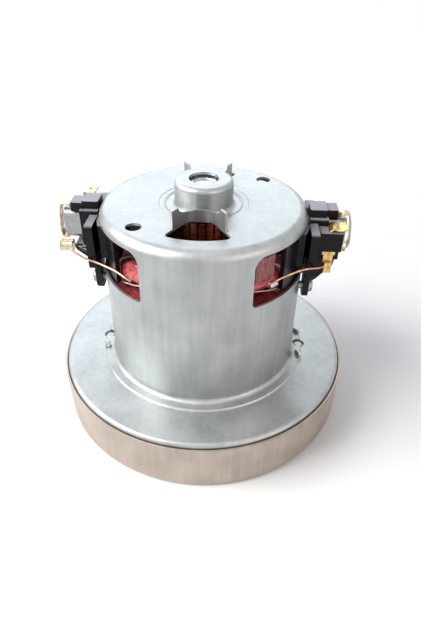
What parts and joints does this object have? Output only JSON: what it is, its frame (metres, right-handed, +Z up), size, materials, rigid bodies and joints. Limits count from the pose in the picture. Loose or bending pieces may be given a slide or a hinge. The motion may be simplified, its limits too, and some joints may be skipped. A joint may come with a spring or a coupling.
{
  "type": "vacuum cleaner motor unit",
  "caption": "Through-flow vacuum motor: drawn steel housing with rear bearing boss and flange, fan in a pressed cover, side brush gear and spinning rotor.",
  "frame": {"origin": "centre of the fan cover's flat face, on which the unit stands", "axes": "+Z up the shaft to the rear bearing boss; X through the two brushes, with the flat mains tab on the -X holder; -Y towards the camera of the picture"},
  "size_m": [0.135, 0.135, 0.1093],
  "materials": {
    "zinc_steel": "satin zinc plate",
    "bearing_steel": "ground",
    "black_moulding": "moulded, satin",
    "brass": "plain",
    "copper": "drawn copper",
    "coil_wire": "red varnished copper wire",
    "insulation_board": "plain",
    "lacing_cord": "waxed",
    "laminations": "stacked sheet",
    "carbon": "plain",
    "felt": "plain",
    "fan_aluminium": "satin",
    "hub_resin": "plain"
  },
  "bodies": {
    "housing": {"motor_housing": "zinc_steel", "fan_cover": "zinc_steel", "inlet_seal_ring": "felt", "lower_bearing_bracket": "zinc_steel", "bracket_screws": "zinc_steel", "diffuser": "black_moulding", "diffuser_screws": "zinc_steel", "lower_bearing_outer_ring": "bearing_steel", "upper_bearing_outer_ring": "bearing_steel", "bearing_shields": "bearing_steel", "bearing_wave_washer": "bearing_steel", "stator_core": "laminations", "field_coil_front": "coil_wire", "field_coil_back": "coil_wire", "coil_insulation_plates": "insulation_board", "coil_lacing": "lacing_cord", "lead_splices": "brass", "brush_holder_left": "black_moulding", "brush_holder_right": "black_moulding", "brush_tube_left": "zinc_steel", "brush_tube_right": "zinc_steel", "brush_end_clip_left": "brass", "brush_end_clip_right": "brass", "mains_terminal_left": "brass", "mains_terminal_right": "brass", "holder_screws_left": "zinc_steel", "holder_screws_right": "zinc_steel", "coil_lead_front_left": "copper", "coil_lead_front_right": "copper", "coil_lead_back_right": "copper", "coil_lead_back_left": "copper", "brush_spring_left": "bearing_steel", "brush_spring_right": "bearing_steel", "brush_pigtail_left": "copper", "brush_pigtail_right": "copper"},
    "rotor": {"shaft": "bearing_steel", "armature_core": "laminations", "armature_winding": "coil_wire", "commutator_bars": "copper", "commutator_hub": "hub_resin", "upper_bearing_inner_ring": "bearing_steel", "lower_bearing_inner_ring": "bearing_steel", "impeller_back_plate": "fan_aluminium", "impeller_front_plate": "fan_aluminium", "impeller_blades": "fan_aluminium", "impeller_spacer": "bearing_steel", "impeller_washers": "zinc_steel", "impeller_nut": "zinc_steel"},
    "brush_left": {"carbon_brush_left": "carbon"},
    "brush_right": {"carbon_brush_right": "carbon"}
  },
  "joints": [
    {"name": "rotor_spin", "type": "hinge", "parent": "housing", "child": "rotor", "pos_m": [0, 0, 0.055], "axis": [0, 0, 1], "continuous": true},
    {"name": "brush_left_slide", "type": "slide", "parent": "housing", "child": "brush_left", "axis": [-1, 0, 0], "range_m": [0, 0.012], "stiffness_N_per_m": 150, "springref_m": -0.022, "deforming": ["brush_spring_left", "brush_pigtail_left"]},
    {"name": "brush_right_slide", "type": "slide", "parent": "housing", "child": "brush_right", "axis": [1, 0, 0], "range_m": [0, 0.012], "stiffness_N_per_m": 150, "springref_m": -0.022, "deforming": ["brush_spring_right", "brush_pigtail_right"]}
  ]
}
